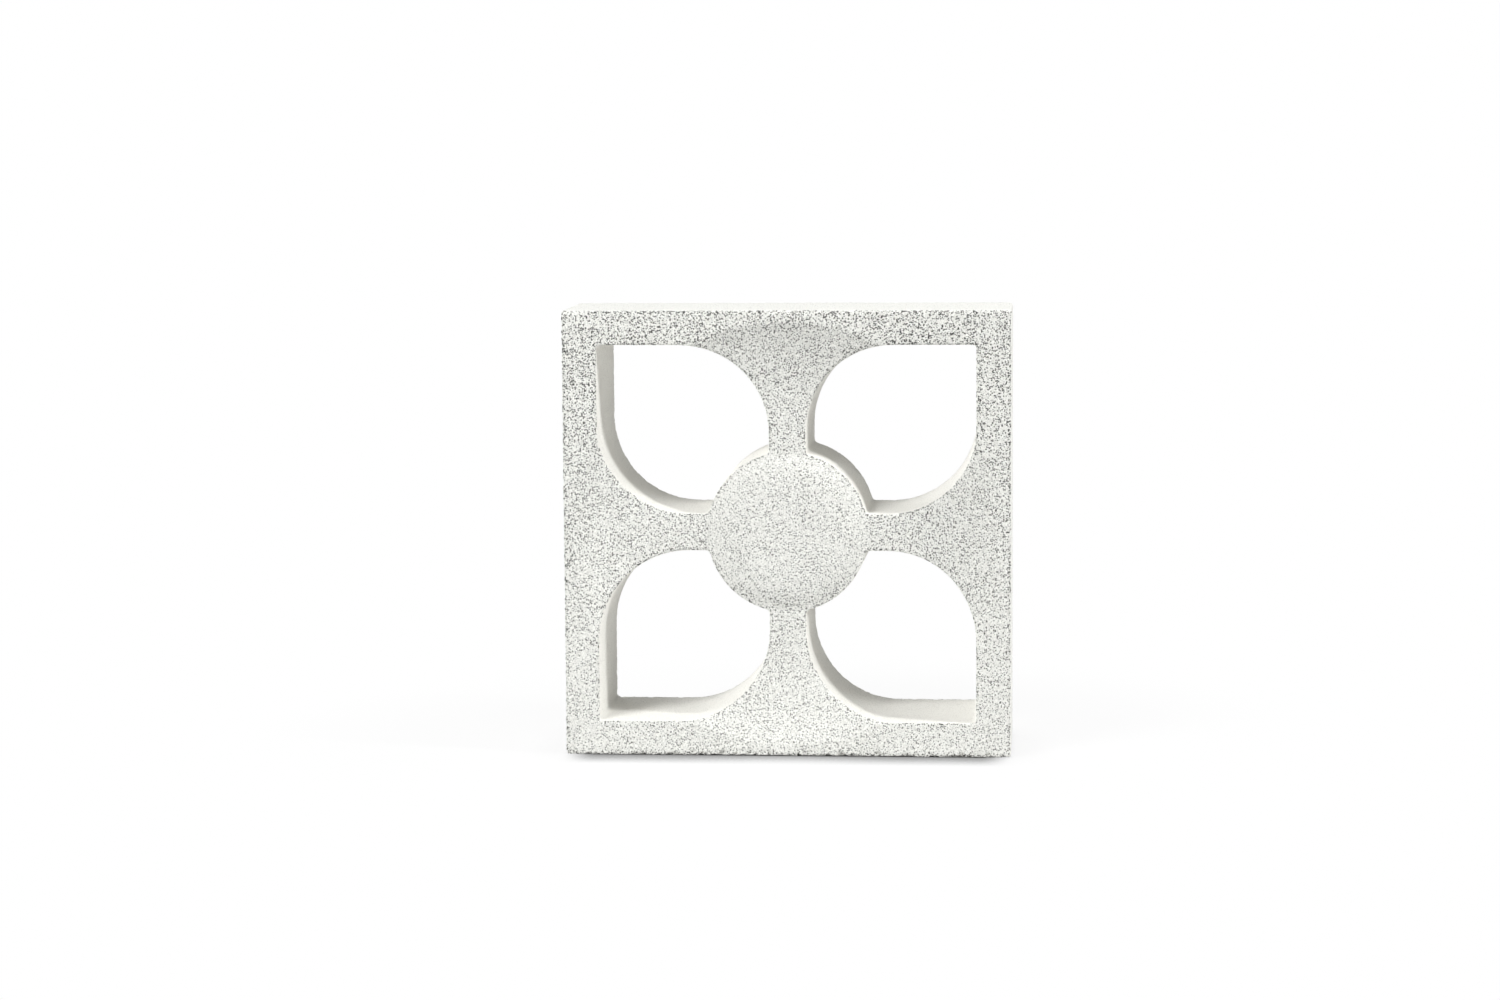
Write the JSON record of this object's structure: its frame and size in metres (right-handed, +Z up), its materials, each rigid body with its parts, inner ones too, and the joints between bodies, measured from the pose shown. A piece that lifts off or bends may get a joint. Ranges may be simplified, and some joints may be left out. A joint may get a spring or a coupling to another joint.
{
  "type": "decorative screen block",
  "caption": "Square pressed-concrete screen block with petal-shaped through openings around a round hub and a dished front face, laid in open garden and facade walls.",
  "frame": {"origin": "middle of the lower bed face, on the floor that the block stands on", "axes": "+Z up through the block's height, +Y from the dished front face to the plain back, +X to the right seen from the front"},
  "size_m": [0.29, 0.09, 0.29],
  "materials": {
    "concrete": "matte near-white pressed concrete, finely pitted on its faces and smoother inside the openings"
  },
  "bodies": {
    "root": {"screen_block": "concrete"}
  },
  "joints": []
}
